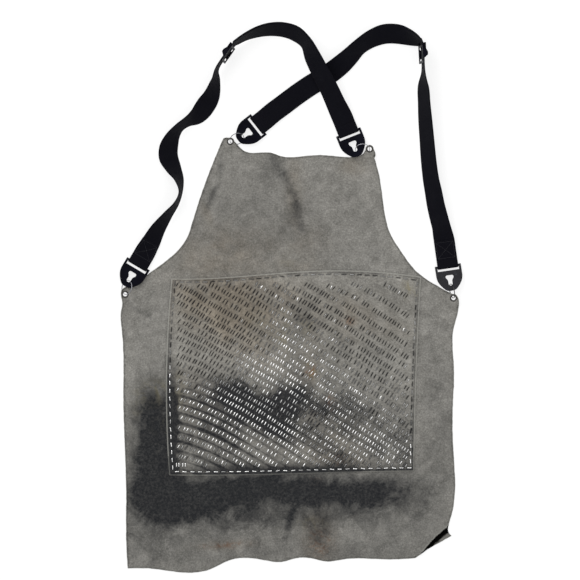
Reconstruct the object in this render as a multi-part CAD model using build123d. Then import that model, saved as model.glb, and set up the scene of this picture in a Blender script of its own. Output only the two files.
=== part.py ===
from build123d import *

import math
import os

# Grinder's leather apron with a staple-armoured patch, lying flat with its crossed harness spread out.
# Millimetres. Origin on the back of the leather, behind the middle of the patch; +Y towards the bib,
# +Z out of the front face.

os.makedirs("parts", exist_ok=True)

# ---- driving dimensions -------------------------------------------------------------------------
LEATHER = 1.6            # hide thickness
PATCH = 1.8              # reinforcement patch thickness

WEB_WIDTH = 38.0         # elastic webbing
WEB = 1.6
LAYER_GAP = 0.2          # between the two layers of a doubled strap
FLOOR_GAP = 0.4          # webbing's lowest edge above the surface the apron lies on

RING_R = 13.0            # split ring, centre line
RING_WIRE_R = 0.9
EYELET_IN_R = 3.9
EYELET_OUT_R = 4.3
FLANGE_R = 6.5
FLANGE = 0.5

END_HALF = 23.8          # end piece, half its width over the ears
END_THICK = 2.8
END_NOSE = 46.0          # bar centre to rounded nose
SLOT_HALF = 19.6         # half the webbing slot's length
SLOT_DEEP = 8.3          # bar centre to the slot's far wall
KEY_REACH = 33.5         # bar centre to where the ring crosses the keyhole
BAR_HALF = 2.0
BAR_Z = 5.2              # height of the end piece's bar above the floor
LOOP_GAP = 0.4           # webbing to bar
SEWN = 48.0              # bar centre to the end of a sewn loop's overlap
PINCH = 12.0             # bar centre to where the two layers meet
TURN = 16.0              # bar centre to the end of a plain turn of webbing

SLIDER_LONG = 33.0
SLIDER_HALF = 23.5
SLIDER_BAR = 4.0         # width of each of its three bars
SLIDER_BAR_THICK = 2.0
SLIDER_TAIL = 20.0       # middle bar to the end of the loop sewn round it
HINGE_GAP = 0.6          # webbing gap where the harness lifts
LAYER = (WEB + LAYER_GAP) / 2            # each layer of a doubled strap from its middle
SLIDER_BACK = SLIDER_LONG / 2 + 1        # slider's middle bar from the upper end of its straight run
SLIDER_STITCH_Z = -LAYER - 1.5 * WEB - 0.5   # under the slider loop's sewn tail

STAPLE_CROWN = 8.0
STAPLE_WIRE = 1.0
STAPLE_TALL = 0.7        # crown above the patch
BORDER_INSET = 7.0
BORDER_PITCH = 14.5
THREAD = 0.5

# corner: bar centre x, y; heading from ring to bar; heading from eyelet to keyhole; ring tilt; side
CORNERS = {
    "left_waist": (-282.0, 198.0, 59.5, 76.0, 45.0, -1),
    "right_waist": (281.6, 195.0, 98.3, 101.0, 75.0, -1),
    "left_bib": (-64.0, 452.0, 38.3, 22.0, 45.0, 1),
    "right_bib": (101.0, 437.3, 111.6, 184.0, 42.0, -1),
}

# Webbing routes from the waist end: x, y, bank in degrees, extra height. The bank raises the edge on
# the outer side. The route is cut into sections at the marked stations.
LEFT_ROUTE = [
    (-257, 240, 12, 4), (-245, 263, 48, 0), (-228, 287, 66, 0), (-212, 308, 78, 0), (-204, 329, 82, 0),
    (-207, 352, 66, 0), (-217, 372, 45, 0), (-226, 392, 25, 0), (-226, 411, 30, 0), (-219, 430, 52, 0),
    (-206, 447, 67, 0), (-188, 460, 62, 0), (-170, 473, 32, 0), (-157, 490, 25, 0), (-147, 509, 45, 2),
    (-141, 532, 66, 4), (-137, 556.5, 83, 6), (-110, 595, 83, 6), (-100, 603, 80, 5), (-84, 612.5, 75, 3),
    (-64, 620.5, 66, 1), (-42, 625, 58, 0), (-18, 624.5, 52, 0), (5, 617, 50, 1), (24, 600, 58, 2),
    (36, 574, 42, 7), (49, 548, 36, 9), (64, 520, 33, 6), (78, 490, 26, 2), (89, 467, 8, 3),
]
LEFT_CUT, LEFT_SLIDER = 13, 16
RIGHT_ROUTE = [
    (275, 242, 10, 4), (270, 264, 28, 1), (264, 287, 31, 0), (259, 308, 34, 0), (255, 330, 37, 0),
    (250, 356, 42, 0), (246, 389, 45, 0), (243, 425, 48, 0), (240, 461, 51, 0), (238, 490, 56, 1),
    (236.5, 519, 60, 4), (237, 550, 83, 6), (234.5, 597, 83, 6), (226, 605, 69, 4), (211, 611, 49, 1),
    (190, 617, 28, 0), (166, 617, 26, 0), (142, 608, 38, 0), (120, 593, 45, 0), (101, 574, 32, 0),
    (83, 558, 16, 0), (60, 541, 5, 0), (33, 525, 2, 0), (8, 508, 2, 0), (-16, 490, 2, 1),
    (-36, 475, 2, 3),
]
RIGHT_CUT, RIGHT_SLIDER = 9, 11
LEFT_CUT_BIB, RIGHT_CUT_BIB = 28, 24


def save(node, shape):
    export_step(shape, f"parts/{node}.step")


def unit(angle):
    return Vector(math.cos(math.radians(angle)), math.sin(math.radians(angle)), 0)


# ---- where each corner's pieces lie --------------------------------------------------------------
class Corner:
    def __init__(self, bar_x, bar_y, heading, chain, tilt, side):
        self.ring_z = RING_R * math.sin(math.radians(tilt)) + RING_WIRE_R + 0.1
        droop = math.asin((self.ring_z - BAR_Z) / KEY_REACH)
        along = unit(heading)
        self.away = along * math.cos(droop) - Vector(0, 0, math.sin(droop))
        self.along = along
        across = Vector(along.Y, -along.X, 0)
        self.bar = Vector(bar_x, bar_y, BAR_Z)
        self.end_plane = Plane(origin=self.bar, x_dir=across, z_dir=across.cross(self.away))
        self.loop_plane = Plane(origin=self.bar, x_dir=across, z_dir=(0, 0, 1))
        key = self.bar - self.away * KEY_REACH
        self.eyelet = key - unit(chain) * 2 * RING_R
        swing = Vector(-unit(chain).Y, unit(chain).X, 0) * side
        rise = math.radians(tilt)
        up_side = swing * math.cos(rise) + Vector(0, 0, math.sin(rise))
        self.ring_plane = Plane(
            origin=key - unit(chain) * RING_R, x_dir=unit(chain), z_dir=unit(chain).cross(up_side))


# ---- leather ------------------------------------------------------------------------------------
def body_outline():
    bib_top = Spline((-127, 428), (-116, 429), (-104, 420), (-88, 405), (-64, 402), (-40, 402),
                     (-21, 396), (40, 398), (86, 395), (116, 395.5), (124, 398), (129, 402))
    bib_ear = Spline((129, 402), (133, 409), (140, 414), (147, 408), (148, 392))
    right_armhole = Spline((148, 392), (163, 321), (183, 243), (195, 225), (224, 187), (249, 168),
                           (290, 145))
    right_side = Spline((290, 145), (300, 138), (302, 126), (292, 80), (293, 16), (291, -60),
                        (292, -137), (294, -230), (286, -267), (283, -287), (289, -295))
    fold_lip = Spline((289, -295), (270, -306), (244, -321), (223, -336))
    hem = Spline((223, -336), (158, -338), (95, -338), (60, -342), (30, -336), (7, -336), (-20, -343),
                 (-62, -338), (-118, -341), (-149, -356), (-243, -357), (-301, -355))
    left_side = Spline((-301, -355), (-304, -301), (-304, -213), (-309, -54), (-312, 79), (-313, 115),
                       (-311, 128), (-313, 141), (-312, 153))
    shoulder = Spline((-312, 153), (-306, 157.5), (-297, 160), (-285, 162))
    left_armhole = Spline((-285, 162), (-260, 184), (-213, 221), (-189, 257))
    bib_side = Spline((-189, 257), (-170, 318), (-147, 381), (-127, 428))
    return make_face([bib_top, bib_ear, right_armhole, right_side, fold_lip, hem, left_side,
                      shoulder, left_armhole, bib_side])


CONE_IN = 7.4            # flat top of the raised leather round an eyelet
# cone run for each millimetre of rise
CONE_SPREAD = {"left_waist": 2.0, "right_waist": 1.25, "left_bib": 1.25, "right_bib": 2.5}


def raised_leather(corner, spread):
    rise = corner.ring_z - LEATHER / 2
    foot = CONE_IN + rise * spread
    slant = LEATHER * math.tan(math.atan(1 / spread) / 2)
    profile = Polyline((EYELET_OUT_R, rise), (CONE_IN, rise), (foot, 0), (foot + 2, 0),
                       (foot + 2, LEATHER), (foot + slant, LEATHER), (CONE_IN + slant, rise + LEATHER),
                       (EYELET_OUT_R, rise + LEATHER), close=True)
    cone = revolve(Plane.XZ * make_face(profile), Axis.Z)
    return Pos(corner.eyelet.X, corner.eyelet.Y) * cone, foot + 2


def leather_body(corners):
    outline = body_outline()
    for corner in corners.values():
        outline += Pos(corner.eyelet.X, corner.eyelet.Y) * Circle(CONE_IN + 0.4)
    tall = extrude(outline, 40)
    plate = extrude(outline, LEATHER)
    for name, corner in corners.items():
        cone, reach = raised_leather(corner, CONE_SPREAD[name])
        spot = Pos(corner.eyelet.X, corner.eyelet.Y)
        plate -= spot * Cylinder(reach, 10)
        plate += cone & tall
    return plate


def patch_outline():
    top = Spline((-221, 173), (-73, 179), (18, 186), (118, 187), (233, 176))
    right = Spline((233, 176), (224, -10), (220, -178))
    bottom = Spline((220, -178), (104, -180), (-96, -185), (-225, -185))
    left = Spline((-225, -185), (-231, -10), (-221, 173))
    return make_face([top, right, bottom, left])


# ---- staples ------------------------------------------------------------------------------------
def staple(x, y, angle):
    crown = Pos(0, 0, LEATHER + PATCH + STAPLE_TALL / 2) * Box(STAPLE_CROWN, STAPLE_WIRE, STAPLE_TALL)
    leg = Box(STAPLE_WIRE, STAPLE_WIRE, PATCH + LEATHER - 0.4)
    reach = (STAPLE_CROWN - STAPLE_WIRE) / 2
    height = 0.4 + (PATCH + LEATHER - 0.4) / 2
    legs = Pos(reach, 0, height) * leg + Pos(-reach, 0, height) * leg
    return Pos(x, y) * Rot(0, 0, angle) * (crown + legs)


def border_staples():
    rim = offset(patch_outline(), -BORDER_INSET).face().outer_wire()
    count = round(rim.length / BORDER_PITCH)
    staples = []
    for step in range(count):
        spot = rim.position_at(step / count)
        run = rim.tangent_at(step / count)
        staples.append(staple(spot.X, spot.Y, math.degrees(math.atan2(run.Y, run.X))))
    for extra in range(4):
        staples.append(staple(-212 + 4.5 * extra, -166, 90))
    return staples


# ---- metal at each corner ------------------------------------------------------------------------
def eyelet(corner):
    z = corner.ring_z
    spot = Pos(corner.eyelet.X, corner.eyelet.Y, z)
    top = LEATHER / 2
    barrel = Pos(0, 0, -0.2) * Cylinder(EYELET_OUT_R, LEATHER + 2 * FLANGE + 0.4)
    flange = Pos(0, 0, top + FLANGE / 2) * Cylinder(FLANGE_R, FLANGE)
    roll = Pos(0, 0, -top - FLANGE - 0.2) * Cylinder(EYELET_OUT_R + 0.8, 0.4)
    bore = Cylinder(EYELET_IN_R, 10)
    return spot * (barrel + flange + roll - bore)


def washer(corner):
    ring = Cylinder(FLANGE_R, FLANGE) - Cylinder(EYELET_OUT_R, FLANGE)
    height = corner.ring_z - LEATHER / 2 - FLANGE / 2
    return Pos(corner.eyelet.X, corner.eyelet.Y, height) * ring


def split_ring(corner):
    return corner.ring_plane * Torus(RING_R, RING_WIRE_R)


# ---- moulded end piece ---------------------------------------------------------------------------
def end_piece(corner):
    ear = BAR_HALF
    right = Spline((END_HALF, -16), (21.5, -28), (12, -41.5), (0, -END_NOSE),
                   tangents=[(0, -1), (-1, 0)])
    left = mirror(right, Plane.YZ)
    top = Polyline((-END_HALF, -16), (-END_HALF, ear), (END_HALF, ear), (END_HALF, -16))
    plate = extrude(make_face([right, left, top]), END_THICK / 2, both=True)
    plate = chamfer(plate.edges().filter_by(GeomType.LINE, reverse=True).group_by(Axis.Z)[-1], 0.6)
    mouth = (SLOT_DEEP + ear + 2) / 2
    plate -= Pos(0, ear + 2 - mouth, 0) * Box(2 * SLOT_HALF, 2 * mouth, 10)
    bar = extrude(Plane.YZ * SlotOverall(2 * BAR_HALF, END_THICK), SLOT_HALF, both=True)
    wide = Pos(0, -20) * RectangleRounded(14.4, 7, 2.8)
    taper = make_face(Polyline((-6.6, -21.5), (6.6, -21.5), (3.7, -27), (3.7, -33), (-3.7, -33),
                               (-3.7, -27), close=True))
    neck = Pos(0, -33) * Circle(3.7)
    keyhole = extrude(wide + taper + neck, 5, both=True)
    return corner.end_plane * (plate + bar - keyhole)


# ---- webbing -------------------------------------------------------------------------------------
def loop_profile(length, sewn):
    """Side view of webbing turned round the bar; x runs away from the ring."""
    inner = END_THICK / 2 + LOOP_GAP
    outer = inner + WEB
    turn = -BAR_HALF - LOOP_GAP + inner
    half = WEB + LAYER_GAP / 2
    skin = make_face(
        Polyline((turn, outer), (BAR_HALF + 2, outer), (PINCH, half), (length, half),
                 (length, -half), (PINCH, -half), (BAR_HALF + 2, -outer), (turn, -outer))
        + ThreePointArc((turn, -outer), (turn - outer, 0), (turn, outer)))
    tip = LAYER_GAP / 2
    if sewn:
        void = Polyline((turn, -inner), (BAR_HALF + 2, -inner), (PINCH - 1, 0),
                        (BAR_HALF + 2, inner), (turn, inner))
    else:
        void = Polyline((turn, -inner), (BAR_HALF + 2, -inner), (PINCH, -tip), (length + 1, -tip),
                        (length + 1, tip), (PINCH, tip), (BAR_HALF + 2, inner), (turn, inner))
    hollow = make_face(void + ThreePointArc((turn, inner), (turn - inner, 0), (turn, -inner)))
    return skin - hollow


def bar_loop(corner, length, sewn):
    side = Plane(origin=(0, 0, 0), x_dir=(0, 1, 0), z_dir=(1, 0, 0))
    web = extrude(side * loop_profile(length, sewn), WEB_WIDTH / 2, both=True)
    return corner.loop_plane * web


def stations(route, raised_side, slider):
    """One frame at each station of a route: x across the webbing, z along it."""
    frames = []
    for i, (x, y, bank, extra) in enumerate(route):
        before = route[slider if i == slider else max(i - 1, 0)]
        after = route[slider + 1 if i == slider + 1 else min(i + 1, len(route) - 1)]
        run = Vector(after[0] - before[0], after[1] - before[1], 0).normalized()
        left = Vector(-run.Y, run.X, 0)
        slope = math.radians(bank) * raised_side
        across = left * math.cos(slope) + Vector(0, 0, math.sin(slope))
        lift = WEB_WIDTH / 2 * math.sin(math.radians(bank))
        height = lift + FLOOR_GAP + WEB + LAYER_GAP / 2 + extra
        frames.append(Plane(origin=(x, y, height), x_dir=across, z_dir=run))
    return frames


def band(frames, offset_y=0.0, last_y=None):
    """Webbing through a list of frames, at a height over them that may differ at the last."""
    heights = [offset_y] * len(frames)
    if last_y is not None:
        heights[-1] = last_y
    sections = [frame * Pos(0, height, 0) * Rectangle(WEB_WIDTH, WEB)
                for frame, height in zip(frames, heights)]
    return loft(sections, ruled=True)


def moved(frame, distance):
    return Plane(origin=frame.origin + frame.z_dir * distance, x_dir=frame.x_dir, z_dir=frame.z_dir)


def strap(name, route, raised_side, cut, slider, bib_cut, waist, bib):
    frames = stations(route, raised_side, slider)
    tail = Plane(origin=waist.bar + waist.along * (SEWN + 0.1),
                 x_dir=waist.end_plane.x_dir * -1, z_dir=waist.along)
    head = Plane(origin=bib.bar + bib.along * (TURN + 0.1),
                 x_dir=bib.end_plane.x_dir, z_dir=bib.along * -1)
    below = moved(frames[cut], -HINGE_GAP)
    above = frames[cut]
    save(f"{name}_waist_webbing", band([tail] + frames[1:cut] + [below]))
    save(f"{name}_back_webbing", band([above] + frames[cut + 1:slider + 1], 0, LAYER))
    high = frames[slider + 1]
    run = frames[slider:bib_cut] + [moved(frames[bib_cut], -HINGE_GAP)]
    save(f"{name}_running_webbing", band([moved(run[0], 0.1)] + run[1:], LAYER))
    loop_end = moved(high, SLIDER_TAIL - SLIDER_BACK + 0.3)
    save(f"{name}_fixed_webbing", band([loop_end] + run[2:], -LAYER))
    save(f"{name}_bib_running_webbing", band(frames[bib_cut:] + [head], LAYER))
    save(f"{name}_bib_fixed_webbing", band(frames[bib_cut:] + [head], -LAYER))
    middle = moved(high, -SLIDER_BACK)
    place = Plane(origin=middle.origin, x_dir=middle.x_dir, z_dir=middle.x_dir.cross(middle.z_dir) * -1)
    save(f"{name}_slider", place * slider_frame())
    save(f"{name}_slider_loop", place * slider_loop())
    save(f"{name}_slider_stitching", place * Pos(0, -14.5, SLIDER_STITCH_Z) * box_stitch(9, 30))


# ---- stitching -----------------------------------------------------------------------------------
def box_stitch(length, width):
    """A sewn rectangle with a cross in it, lying on z = 0."""
    long_side = Box(THREAD, length, THREAD)
    short_side = Box(width, THREAD, THREAD)
    diagonal = Box(THREAD, math.hypot(length, width) - THREAD, THREAD)
    lean = math.degrees(math.atan2(width, length))
    lines = Pos(width / 2 - THREAD / 2) * long_side + Pos(THREAD / 2 - width / 2) * long_side
    lines += Pos(0, length / 2 - THREAD / 2) * short_side + Pos(0, THREAD / 2 - length / 2) * short_side
    lines += Rot(0, 0, lean) * diagonal + Rot(0, 0, -lean) * diagonal
    return Pos(0, 0, THREAD / 2) * lines


def loop_stitch(corner):
    return corner.loop_plane * Pos(0, (PINCH + SEWN) / 2, WEB + LAYER_GAP / 2) * box_stitch(30, 32)


# ---- slide adjuster ------------------------------------------------------------------------------
def slider_frame():
    """Middle bar under the running webbing, two end bars over it, rails beside it."""
    low = LAYER + WEB / 2 + 0.4
    high = low + SLIDER_BAR_THICK
    reach = SLIDER_LONG / 2
    floor = -LAYER - WEB / 2 - 0.3
    profile = Polyline((-reach, low), (-reach, high), (reach, high), (reach, low), (9, low),
                       (3.5, floor - 2.4), (-3.5, floor - 2.4), (-9, low), close=True)
    side = Plane(origin=(0, 0, 0), x_dir=(0, 1, 0), z_dir=(1, 0, 0))
    rail = extrude(side * make_face(profile), SLIDER_HALF - SLOT_HALF)
    frame = Pos(SLOT_HALF, 0, 0) * rail + Pos(-SLIDER_HALF, 0, 0) * rail
    end_bar = Box(2 * SLIDER_HALF, SLIDER_BAR, SLIDER_BAR_THICK)
    for end in (-1, 1):
        frame += Pos(0, end * (reach - SLIDER_BAR / 2), (low + high) / 2) * end_bar
    middle = extrude(side * SlotOverall(SLIDER_BAR, 2.4), SLOT_HALF, both=True)
    return frame + Pos(0, 0, floor - 1.2) * middle


def slider_loop():
    """Webbing sewn round the middle bar; its tail runs on under the running layer."""
    top = -LAYER + WEB / 2
    inner_top = top - WEB
    inner_low = inner_top - 2.4 - 0.6
    low = inner_low - WEB
    centre = (inner_top + inner_low) / 2
    tail_low = inner_top - WEB
    skin = make_face(
        Polyline((1, top), (-SLIDER_TAIL, top), (-SLIDER_TAIL, tail_low), (-9, tail_low), (-3, low), (1, low))
        + ThreePointArc((1, low), (1 + (top - low) / 2, centre), (1, top)))
    void = make_face(
        Polyline((0.9, inner_top), (-6.5, inner_top), (-3, inner_low), (0.9, inner_low))
        + ThreePointArc((0.9, inner_low), (0.9 + (inner_top - inner_low) / 2, centre), (0.9, inner_top)))
    side = Plane(origin=(0, 0, 0), x_dir=(0, 1, 0), z_dir=(1, 0, 0))
    return extrude(side * (skin - void), WEB_WIDTH / 2, both=True)


corners = {name: Corner(*values) for name, values in CORNERS.items()}

save("leather_body", leather_body(corners))
save("reinforcement_patch", Pos(0, 0, LEATHER) * extrude(patch_outline(), PATCH))
save("border_staples", Compound(border_staples()))
for name, corner in corners.items():
    save(f"eyelet_{name}", eyelet(corner))
    save(f"washer_{name}", washer(corner))
    save(f"split_ring_{name}", split_ring(corner))
    save(f"end_piece_{name}", end_piece(corner))
save("sewn_loop_left_waist", bar_loop(corners["left_waist"], SEWN, True))
save("sewn_loop_right_waist", bar_loop(corners["right_waist"], SEWN, True))
save("stitching_left_waist", loop_stitch(corners["left_waist"]))
save("stitching_right_waist", loop_stitch(corners["right_waist"]))
save("webbing_turn_left_bib", bar_loop(corners["left_bib"], TURN, False))
save("webbing_turn_right_bib", bar_loop(corners["right_bib"], TURN, False))
strap("left", LEFT_ROUTE, 1, LEFT_CUT, LEFT_SLIDER, LEFT_CUT_BIB,
      corners["left_waist"], corners["right_bib"])
strap("right", RIGHT_ROUTE, -1, RIGHT_CUT, RIGHT_SLIDER, RIGHT_CUT_BIB,
      corners["right_waist"], corners["left_bib"])
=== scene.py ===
import math
import random

import bpy
import numpy as np
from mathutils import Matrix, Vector, noise
from mathutils.geometry import delaunay_2d_cdt


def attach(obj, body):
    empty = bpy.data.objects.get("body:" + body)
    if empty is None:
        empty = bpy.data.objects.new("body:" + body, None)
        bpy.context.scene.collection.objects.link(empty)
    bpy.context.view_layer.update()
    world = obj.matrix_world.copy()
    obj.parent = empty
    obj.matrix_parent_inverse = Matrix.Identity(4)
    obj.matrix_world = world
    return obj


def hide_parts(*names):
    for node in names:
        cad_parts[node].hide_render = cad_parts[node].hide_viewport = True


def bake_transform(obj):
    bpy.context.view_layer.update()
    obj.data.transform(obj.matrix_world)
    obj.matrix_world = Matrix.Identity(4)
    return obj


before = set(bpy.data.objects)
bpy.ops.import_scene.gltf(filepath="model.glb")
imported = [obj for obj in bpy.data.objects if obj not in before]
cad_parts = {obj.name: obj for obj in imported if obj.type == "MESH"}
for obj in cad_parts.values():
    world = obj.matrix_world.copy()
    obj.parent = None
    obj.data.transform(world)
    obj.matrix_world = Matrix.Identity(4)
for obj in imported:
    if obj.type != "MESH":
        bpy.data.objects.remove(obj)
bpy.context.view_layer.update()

# A grinder's leather apron lying flat, seen from straight above. Lengths here are in millimetres until a
# mesh is made, in the part's own frame: the origin behind the middle of the patch, +Y to the bib, +Z up.
MM = 0.001
rng = random.Random(7)

LEATHER = 1.6
PATCH = 1.8
WEB_WIDTH, WEB = 38.0, 1.6
LAYER_GAP = 0.2
LAYER = (WEB + LAYER_GAP) / 2
FLOOR_GAP = 0.4
RING_R, RING_WIRE_R = 13.0, 0.9
EYELET_IN_R = 3.9
END_THICK = 2.8
BAR_Z = 5.2
BAR_HALF = 2.0
LOOP_GAP = 0.4
KEY_REACH = 33.5
SEWN, PINCH, TURN = 48.0, 12.0, 16.0
SLIDER_TAIL, SLIDER_BACK = 20.0, 17.5
THREAD = 0.5
STAPLE_LONG, STAPLE_WIRE, STAPLE_TALL = 8.0, 1.0, 0.7
BORDER_INSET, BORDER_PITCH = 7.0, 14.5

# corner: bar x, y; heading from ring to bar; heading from eyelet to keyhole; ring tilt; side
CORNERS = {
    "left_waist": (-282.0, 198.0, 59.5, 76.0, 45.0, -1),
    "right_waist": (281.6, 195.0, 98.3, 101.0, 75.0, -1),
    "left_bib": (-64.0, 452.0, 38.3, 22.0, 45.0, 1),
    "right_bib": (101.0, 437.3, 111.6, 184.0, 42.0, -1),
}

# webbing routes from the waist end: x, y, bank in degrees, extra height
LEFT_ROUTE = [
    (-257, 240, 12, 4), (-245, 263, 48, 0), (-228, 287, 66, 0), (-212, 308, 78, 0), (-204, 329, 82, 0),
    (-207, 352, 66, 0), (-217, 372, 45, 0), (-226, 392, 25, 0), (-226, 411, 30, 0), (-219, 430, 52, 0),
    (-206, 447, 67, 0), (-188, 460, 62, 0), (-170, 473, 32, 0), (-157, 490, 25, 0), (-147, 509, 45, 2),
    (-141, 532, 66, 4), (-137, 556.5, 83, 6), (-110, 595, 83, 6), (-100, 603, 80, 5), (-84, 612.5, 75, 3),
    (-64, 620.5, 66, 1), (-42, 625, 58, 0), (-18, 624.5, 52, 0), (5, 617, 50, 1), (24, 600, 58, 2),
    (36, 574, 42, 7), (49, 548, 36, 9), (64, 520, 33, 6), (78, 490, 26, 2), (89, 467, 8, 3),
]
RIGHT_ROUTE = [
    (275, 242, 10, 4), (270, 264, 28, 1), (264, 287, 31, 0), (259, 308, 34, 0), (255, 330, 37, 0),
    (250, 356, 42, 0), (246, 389, 45, 0), (243, 425, 48, 0), (240, 461, 51, 0), (238, 490, 56, 1),
    (236.5, 519, 60, 4), (237, 550, 83, 6), (234.5, 597, 83, 6), (226, 605, 69, 4), (211, 611, 49, 1),
    (190, 617, 28, 0), (166, 617, 26, 0), (142, 608, 38, 0), (120, 593, 45, 0), (101, 574, 32, 0),
    (83, 558, 16, 0), (60, 541, 5, 0), (33, 525, 2, 0), (8, 508, 2, 0), (-16, 490, 2, 1),
    (-36, 475, 2, 3),
]
LEFT_SLIDER, RIGHT_SLIDER = 16, 11


# ---- camera, floor and light ---------------------------------------------------------------------
def camera_floor_light():
    middle = Vector((-5.5, 152, 0)) * MM
    height, view_width = 6.0, 1.0556
    data = bpy.data.cameras.new("camera")
    data.sensor_width = 36
    data.lens = 36 * height / view_width
    data.clip_end = 50
    camera = bpy.data.objects.new("camera", data)
    camera.location = middle + Vector((0, 0, height))
    bpy.context.collection.objects.link(camera)
    bpy.context.scene.camera = camera

    mesh = bpy.data.meshes.new("floor")
    side = 6.0
    mesh.from_pydata([(x * side, y * side, -0.0002) for x, y in ((-1, -1), (1, -1), (1, 1), (-1, 1))],
                     [], [(0, 1, 2, 3)])
    floor = bpy.data.objects.new("floor", mesh)
    bpy.context.collection.objects.link(floor)
    paper = bpy.data.materials.new("paper")
    paper.use_nodes = True
    shader = paper.node_tree.nodes["Principled BSDF"]
    shader.inputs["Base Color"].default_value = (0.30, 0.30, 0.30, 1)
    shader.inputs["Roughness"].default_value = 0.9
    shader.inputs["Specular IOR Level"].default_value = 0.0
    shader.inputs["Emission Color"].default_value = (1, 1, 1, 1)
    shader.inputs["Emission Strength"].default_value = 0.74
    mesh.materials.append(paper)

    world = bpy.data.worlds.new("studio")
    world.use_nodes = True
    background = world.node_tree.nodes["Background"]
    background.inputs["Color"].default_value = (1, 1, 1, 1)
    background.inputs["Strength"].default_value = 0.82
    bpy.context.scene.world = world

    def area(name, place, size, power):
        lamp = bpy.data.lights.new(name, "AREA")
        lamp.shape = "SQUARE"
        lamp.size = size
        lamp.energy = power
        lamp_object = bpy.data.objects.new(name, lamp)
        lamp_object.location = place
        aim = Vector((0, 0.15, 0)) - Vector(place)
        lamp_object.rotation_euler = aim.to_track_quat("-Z", "Y").to_euler()
        bpy.context.collection.objects.link(lamp_object)

    area("key", (-1.5, 1.8, 2.4), 2.2, 40)
    area("fill", (1.9, -1.0, 2.4), 2.4, 16)
    bpy.context.scene.view_settings.view_transform = "Standard"
    bpy.context.scene.view_settings.look = "None"


# ---- materials -----------------------------------------------------------------------------------
class Shader:
    """A Principled material with short calls for its nodes."""

    def __init__(self, name, roughness=0.7, metallic=0.0, specular=0.5):
        self.material = bpy.data.materials.new(name)
        self.material.use_nodes = True
        self.tree = self.material.node_tree
        self.surface = self.tree.nodes["Principled BSDF"]
        self.surface.inputs["Roughness"].default_value = roughness
        self.surface.inputs["Metallic"].default_value = metallic
        self.surface.inputs["Specular IOR Level"].default_value = specular
        self.place = self.tree.nodes.new("ShaderNodeTexCoord").outputs["Object"]

    def link(self, source, target):
        self.tree.links.new(source, target)

    def attribute(self, name, output="Fac"):
        node = self.tree.nodes.new("ShaderNodeAttribute")
        node.attribute_name = name
        return node.outputs[output]

    def noise(self, scale, detail=4.0, roughness=0.55, distortion=0.0, place=None):
        node = self.tree.nodes.new("ShaderNodeTexNoise")
        node.inputs["Scale"].default_value = scale
        node.inputs["Detail"].default_value = detail
        node.inputs["Roughness"].default_value = roughness
        node.inputs["Distortion"].default_value = distortion
        self.link(place or self.place, node.inputs["Vector"])
        return node.outputs["Fac"]

    def remap(self, value, low, high, to_low=0.0, to_high=1.0):
        node = self.tree.nodes.new("ShaderNodeMapRange")
        node.inputs["From Min"].default_value = low
        node.inputs["From Max"].default_value = high
        node.inputs["To Min"].default_value = to_low
        node.inputs["To Max"].default_value = to_high
        self.link(value, node.inputs["Value"])
        return node.outputs["Result"]

    def math(self, kind, first, second=None):
        node = self.tree.nodes.new("ShaderNodeMath")
        node.operation = kind
        for socket, value in zip(node.inputs, (first, second)):
            if isinstance(value, (int, float)):
                socket.default_value = value
            elif value is not None:
                self.link(value, socket)
        return node.outputs["Value"]

    def times(self, first, second):
        return self.math("MULTIPLY", first, second)

    def tint(self, colour, by):
        return self.mix(1.0, colour, by, "MULTIPLY")

    def mix(self, factor, first, second, blend="MIX"):
        node = self.tree.nodes.new("ShaderNodeMix")
        node.data_type = "RGBA"
        node.blend_type = blend
        sockets = {"Factor": 0, "A": 6, "B": 7}
        for name, value in (("Factor", factor), ("A", first), ("B", second)):
            socket = node.inputs[sockets[name]]
            if isinstance(value, (int, float)):
                socket.default_value = value
            elif isinstance(value, tuple):
                socket.default_value = (*value, 1)
            else:
                self.link(value, socket)
        return node.outputs[2]

    def bump(self, height, distance, strength=1.0, below=None):
        node = self.tree.nodes.new("ShaderNodeBump")
        node.inputs["Strength"].default_value = strength
        node.inputs["Distance"].default_value = distance
        self.link(height, node.inputs["Height"])
        if below is not None:
            self.link(below, node.inputs["Normal"])
        return node.outputs["Normal"]

    def finish(self, colour, roughness=None, normal=None, metallic=None):
        for name, value in (("Base Color", colour), ("Roughness", roughness), ("Normal", normal),
                            ("Metallic", metallic)):
            if value is not None:
                self.link(value, self.surface.inputs[name])
        return self.material


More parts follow.
